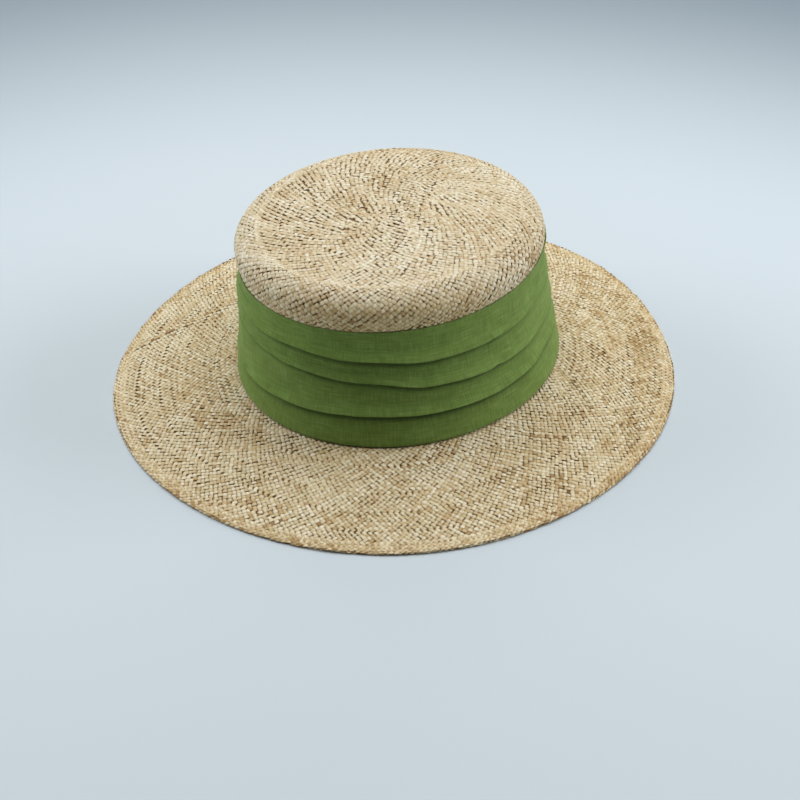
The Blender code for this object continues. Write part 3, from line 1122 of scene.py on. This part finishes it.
def bandSurface():
    # the cloth's outer face as a grid of points, from the upper hem down and all the way round
    generator = np.random.default_rng(band["seed"])
    degrees = np.linspace(-180.0, 180.0, band["around"], endpoint=False)
    theta = np.radians(degrees)
    section = smoothThrough(bandControls(degrees), band["samples"])
    out, z = section[..., 0], section[..., 1]
    # the share of painted fold shade at each point
    fold = np.clip(section[..., 2], 0.0, 1.0)
    angles = theta[None, :] + 0.0 * z
    # the cloth ripples a little, except at the lower hem, which stays still
    slow = slowWaves(generator, angles, z, 10, 16, 45.0)
    fine = slowWaves(generator, angles, z, 12, 60, 16.0)
    free = smoothStep(band["bottom"] + 1.0, band["bottom"] + 6.0, z)
    out = out + free * (0.16 * slow + 0.06 * fine)
    for angle, height, halfLength, halfWidth, depth, slant in bandPuckers:
        along = np.radians((degrees - angle + 180.0) % 360.0 - 180.0) * 92.0
        along = along[None, :] + 0.0 * z
        up = z - height
        turn = math.radians(slant)
        u = along * math.cos(turn) + up * math.sin(turn)
        v = -along * math.sin(turn) + up * math.cos(turn)
        out = out - depth * np.exp(-((u / halfLength) ** 2) - (v / halfWidth) ** 2)
        ridge = np.exp(-((u / halfLength) ** 2) - ((v - 1.6 * halfWidth) / halfWidth) ** 2)
        out = out + 0.4 * depth * ridge
    out = np.maximum(out, 0.12)
    halfX, halfY = wallHalves(z, -out)
    centreX, centreY = crownCentre(z)
    x = centreX + halfX * np.cos(theta)[None, :]
    y = centreY + halfY * np.sin(theta)[None, :]
    return np.stack([x, y, z], axis=-1), fold


def clothRing(name, outer, fold, thickness):
    # a closed ring of cloth with a thickness, from a grid of its outer face
    down = np.gradient(outer, axis=0)
    side = np.roll(outer, -1, axis=1) - np.roll(outer, 1, axis=1)
    normal = np.cross(down, side)
    normal /= np.linalg.norm(normal, axis=-1, keepdims=True) + 1e-12
    inner = outer - normal * thickness
    rows, around = outer.shape[:2]
    points = np.vstack([outer.reshape(-1, 3), inner.reshape(-1, 3)])
    lengths = np.linalg.norm(np.diff(outer, axis=0), axis=-1).mean(axis=1)
    down = np.concatenate([[0.0], np.cumsum(lengths)])
    girth = 2.0 * np.pi * 95.0
    k = np.arange(around)
    after = (k + 1) % around
    faces, cloth, bake = [], [], []
    block = rows * around
    for row in range(rows - 1):
        a, b = row * around, (row + 1) * around
        outerFaces = np.stack([a + k, b + k, b + after, a + after], axis=1)
        innerFaces = np.stack([a + k, a + after, b + after, b + k], axis=1) + block
        u0, u1 = k / around, (k + 1) / around
        v0, v1 = down[row], down[row + 1]
        zero = np.zeros(around)
        outerCloth = [(u0, v0 + zero), (u0, v1 + zero), (u1, v1 + zero), (u1, v0 + zero)]
        innerCloth = [(u0, v0 + zero), (u1, v0 + zero), (u1, v1 + zero), (u0, v1 + zero)]
        faces += [outerFaces, innerFaces]
        for rowCloth, lift in ((outerCloth, 0.02), (innerCloth, 0.52)):
            pairs = np.stack([np.stack(pair, axis=-1) for pair in rowCloth], axis=1)
            scaled = pairs * np.array([girth, 1.0])
            cloth.append(scaled)
            baked = pairs.copy()
            baked[..., 1] = lift + 0.44 * pairs[..., 1] / down[-1]
            bake.append(baked)
    last = (rows - 1) * around
    topRim = np.stack([k, after, after + block, k + block], axis=1)
    bottomRim = np.stack([last + k, last + k + block, last + after + block, last + after], axis=1)
    u0, u1 = k / around, (k + 1) / around
    zero = np.zeros(around)
    for rim, v, order in ((topRim, 0.001, (0, 1, 1, 0)), (bottomRim, 0.981, (0, 0, 1, 1))):
        faces.append(rim)
        us = [(u0, u1)[which] for which in order]
        lifts = (0.0, 0.0, 0.014, 0.014) if order == (0, 1, 1, 0) else (0.0, 0.014, 0.014, 0.0)
        pairs = np.stack([np.stack([u, v + lift + zero], axis=-1) for u, lift in zip(us, lifts)], axis=1)
        bake.append(pairs)
        cloth.append(pairs * np.array([girth, 10.0]))
    faces = np.concatenate(faces)
    piece = newMesh(name, points, faces.tolist())
    for layerName, values in (("cloth", cloth), ("OFBake", bake)):
        layer = piece.data.uv_layers.new(name=layerName)
        layer.data.foreach_set("uv", np.concatenate(values).astype(np.float32).ravel())
    # the share of painted shade in the folds, stored on both faces for the material
    layer = piece.data.attributes.new("fold", "FLOAT", "POINT")
    layer.data.foreach_set("value", np.tile(fold.ravel(), 2).astype(np.float32))
    shadeSmooth(piece)
    return piece


linenLook = {
    "shade": "5B722F",
    "body": "6F8A3E",
    "light": "87A256",
    "paintedFoldShade": "6E7A5C",  # painted shade: multiplies the colour deep in a fold
    "yarnMillimetres": 0.62,  # real yarn is 0.4 mm; drawn coarser so that it shows
    "streakMillimetres": 14.0,
    "roughness": 0.82,
}


def makeLinenMaterial():
    # Plain woven slubbed linen, dyed green: matt, with uneven yarns that leave fine light
    # and dark streaks along and across the cloth.
    material, shader = newMaterial("green slubbed linen", "5E7A34")
    links = material.node_tree.links
    cloth = addNode(material, "ShaderNodeUVMap", uv_map="cloth")
    yarn = linenLook["yarnMillimetres"]
    streak = linenLook["streakMillimetres"]

    def threads(stretchX, stretchY, detail):
        place = addNode(material, "ShaderNodeMapping", {"Vector": cloth.outputs["UV"]})
        place.inputs["Scale"].default_value = (1.0 / stretchX, 1.0 / stretchY, 1.0)
        noise = addNode(
            material,
            "ShaderNodeTexNoise",
            {"Vector": place.outputs["Vector"]},
            in_Scale=1.0,
            in_Detail=detail,
            in_Roughness=0.65,
        )
        return noise.outputs["Fac"]

    weft = threads(streak, yarn * 1.3, 2.0)
    warp = threads(yarn * 1.3, streak * 0.7, 2.0)
    cloud = threads(16.0, 9.0, 2.0)
    both = addNode(material, "ShaderNodeMath", {0: weft, 1: warp}, operation="ADD")
    soft = addNode(
        material,
        "ShaderNodeMath",
        {0: cloud, 2: both.outputs["Value"]},
        operation="MULTIPLY_ADD",
    )
    soft.inputs[1].default_value = 0.5
    ramp = addNode(material, "ShaderNodeValToRGB")
    spread = addNode(
        material,
        "ShaderNodeMapRange",
        {"Value": soft.outputs["Value"]},
        in_From_Min=0.82,
        in_From_Max=1.68,
    )
    links.new(spread.outputs["Result"], ramp.inputs["Fac"])
    ramp.color_ramp.elements[0].color = linearColour(linenLook["shade"])
    ramp.color_ramp.elements[1].color = linearColour(linenLook["light"])
    body = ramp.color_ramp.elements.new(0.5)
    body.color = linearColour(linenLook["body"])
    # painted shade: the cloth is painted darker where it turns in under a pleat, standing in for the
    # shade in the fold
    fold = addNode(material, "ShaderNodeAttribute", attribute_name="fold")
    paintedShade = addNode(
        material,
        "ShaderNodeMix",
        {"Factor": fold.outputs["Fac"]},
        data_type="RGBA",
        blend_type="MULTIPLY",
    )
    links.new(ramp.outputs["Color"], paintedShade.inputs["A"])
    paintedShade.inputs["B"].default_value = linearColour(linenLook["paintedFoldShade"])
    links.new(paintedShade.outputs["Result"], shader.inputs["Base Color"])
    bump = addNode(
        material,
        "ShaderNodeBump",
        {"Height": both.outputs["Value"]},
        in_Strength=0.35,
        in_Distance=0.0002,
    )
    links.new(bump.outputs["Normal"], shader.inputs["Normal"])
    shader.inputs["Roughness"].default_value = linenLook["roughness"]
    shader.inputs["IOR"].default_value = 1.5
    shader.inputs["Specular IOR Level"].default_value = 0.3
    shader.inputs["Sheen Weight"].default_value = 0.25
    shader.inputs["Sheen Roughness"].default_value = 0.5
    shader.inputs["Sheen Tint"].default_value = linearColour("B8CC90")
    return material


bandPiece = clothRing("linen_band_cloth", *bandSurface(), band["clothThickness"])
print("band", len(bandPiece.data.polygons) * 2, "triangles")
bandPiece.data.materials.append(makeLinenMaterial())
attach(bandPiece, rootBody)
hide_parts("linen_band")
print("linen band made")


# Floor, light and camera

stage = {
    "floorHalf": 4.0,
    "paper": "CFDAE1",
    "paperMottle": "CAD6DD",
    "paperPaintedShade": "7F8E99",
    "litCentre": (0.12, -0.14, 0.0),
    "litRadius": 0.40,
    "shadedRadius": 0.95,
    "skyStrength": 0.07,
}


def makeStage():
    # Matt pale paper with a faint, wide mottling, flat under the hat, with painted shade further out
    material, shader = newMaterial("matt pale paper", stage["paper"])
    place = addNode(material, "ShaderNodeTexCoord")
    grain = addNode(
        material,
        "ShaderNodeTexNoise",
        {"Vector": place.outputs["Object"]},
        in_Scale=3.0,
        in_Detail=2.0,
    )
    ramp = addNode(material, "ShaderNodeValToRGB", {"Fac": grain.outputs["Fac"]})
    ramp.color_ramp.elements[0].color = linearColour(stage["paperMottle"])
    ramp.color_ramp.elements[1].color = linearColour(stage["paper"])
    # painted shade: the paper is painted darker away from a lit middle near the hat, standing in for the
    # light falling off towards the edges
    centre = addNode(
        material, "ShaderNodeVectorMath", {0: place.outputs["Object"]}, operation="DISTANCE"
    )
    centre.inputs[1].default_value = stage["litCentre"]
    far = addNode(
        material,
        "ShaderNodeMapRange",
        {"Value": centre.outputs["Value"]},
        interpolation_type="SMOOTHSTEP",
        in_From_Min=stage["litRadius"],
        in_From_Max=stage["shadedRadius"],
    )
    paintedShade = addNode(
        material,
        "ShaderNodeMix",
        {"Factor": far.outputs["Result"]},
        data_type="RGBA",
        blend_type="MIX",
    )
    material.node_tree.links.new(ramp.outputs["Color"], paintedShade.inputs["A"])
    paintedShade.inputs["B"].default_value = linearColour(stage["paperPaintedShade"])
    material.node_tree.links.new(paintedShade.outputs["Result"], shader.inputs["Base Color"])
    shader.inputs["Roughness"].default_value = 0.9
    half = stage["floorHalf"] / metres
    corners = np.array([(-half, -half, 0), (half, -half, 0), (half, half, 0), (-half, half, 0)])
    floor = newMesh("pale_floor", corners, [(0, 1, 2, 3)])
    floor.data.materials.append(material)


camera = {
    "azimuth": 36.0,
    "elevation": 35.0,
    "distance": 0.900,
    "focalPixels": 1491.0,
    "framePixels": 800.0,
    "originRight": 0.7,  # where the hat's origin shows, in pixels from the frame's middle
    "originUp": 36.8,
    "roll": -1.8,
}


def makeCamera():
    azimuth = math.radians(camera["azimuth"])
    elevation = math.radians(camera["elevation"])
    level = math.cos(elevation)
    back = np.array([math.sin(azimuth) * level, -math.cos(azimuth) * level, math.sin(elevation)])
    right = np.array([math.cos(azimuth), math.sin(azimuth), 0.0])
    up = np.cross(back, right)
    # aims a little below the origin, so that the origin shows above the middle
    perPixel = camera["distance"] / camera["focalPixels"]
    place = back * camera["distance"]
    target = -right * camera["originRight"] * perPixel - up * camera["originUp"] * perPixel
    back = (place - target) / np.linalg.norm(place - target)
    right = np.cross([0.0, 0.0, 1.0], back)
    right /= np.linalg.norm(right)
    up = np.cross(back, right)
    roll = math.radians(camera["roll"])
    rolledRight = right * math.cos(roll) - up * math.sin(roll)
    rolledUp = right * math.sin(roll) + up * math.cos(roll)
    data = bpy.data.cameras.new("camera")
    data.sensor_width = 36.0
    data.sensor_fit = "HORIZONTAL"
    data.lens = camera["focalPixels"] * 36.0 / camera["framePixels"]
    data.clip_start = 0.05
    made = bpy.data.objects.new("camera", data)
    bpy.context.scene.collection.objects.link(made)
    axes = np.stack([rolledRight, rolledUp, back], axis=1)
    matrix = np.eye(4)
    matrix[:3, :3] = axes
    matrix[:3, 3] = place
    made.matrix_world = Matrix(matrix.tolist())
    bpy.context.scene.camera = made


# lamps: angle round the hat from the camera's right, height angle, distance, width, watts
lamps = {
    "back window": (95.0, 38.0, 1.7, 1.3, 6.5, "FFFFFF"),
    "left window": (172.0, 24.0, 1.6, 1.0, 11.5, "FFFFFF"),
    "right window": (10.0, 26.0, 1.6, 1.0, 14.5, "FFFFFF"),
    "top light": (90.0, 84.0, 1.8, 1.6, 20.0, "FFFFFF"),
}


def makeLamps():
    for name, (around, height, distance, width, watts, colour) in lamps.items():
        angle = math.radians(camera["azimuth"] + around)
        rise = math.radians(height)
        data = bpy.data.lights.new(name, "AREA")
        data.shape = "SQUARE"
        data.size = width
        data.energy = watts
        data.color = linearColour(colour)[:3]
        made = bpy.data.objects.new(name, data)
        bpy.context.scene.collection.objects.link(made)
        place = np.array(
            [math.cos(angle) * math.cos(rise), math.sin(angle) * math.cos(rise), math.sin(rise)]
        )
        made.location = (place * distance).tolist()
        made.rotation_euler = Vector(place.tolist()).to_track_quat("Z", "Y").to_euler()
    world = bpy.context.scene.world or bpy.data.worlds.new("studio")
    bpy.context.scene.world = world
    world.use_nodes = True
    sky = world.node_tree.nodes.get("Background")
    sky.inputs["Color"].default_value = linearColour("FFFFFF")
    sky.inputs["Strength"].default_value = stage["skyStrength"]


makeStage()
makeCamera()
makeLamps()
bpy.context.scene.view_settings.view_transform = "Standard"
print("stage made")
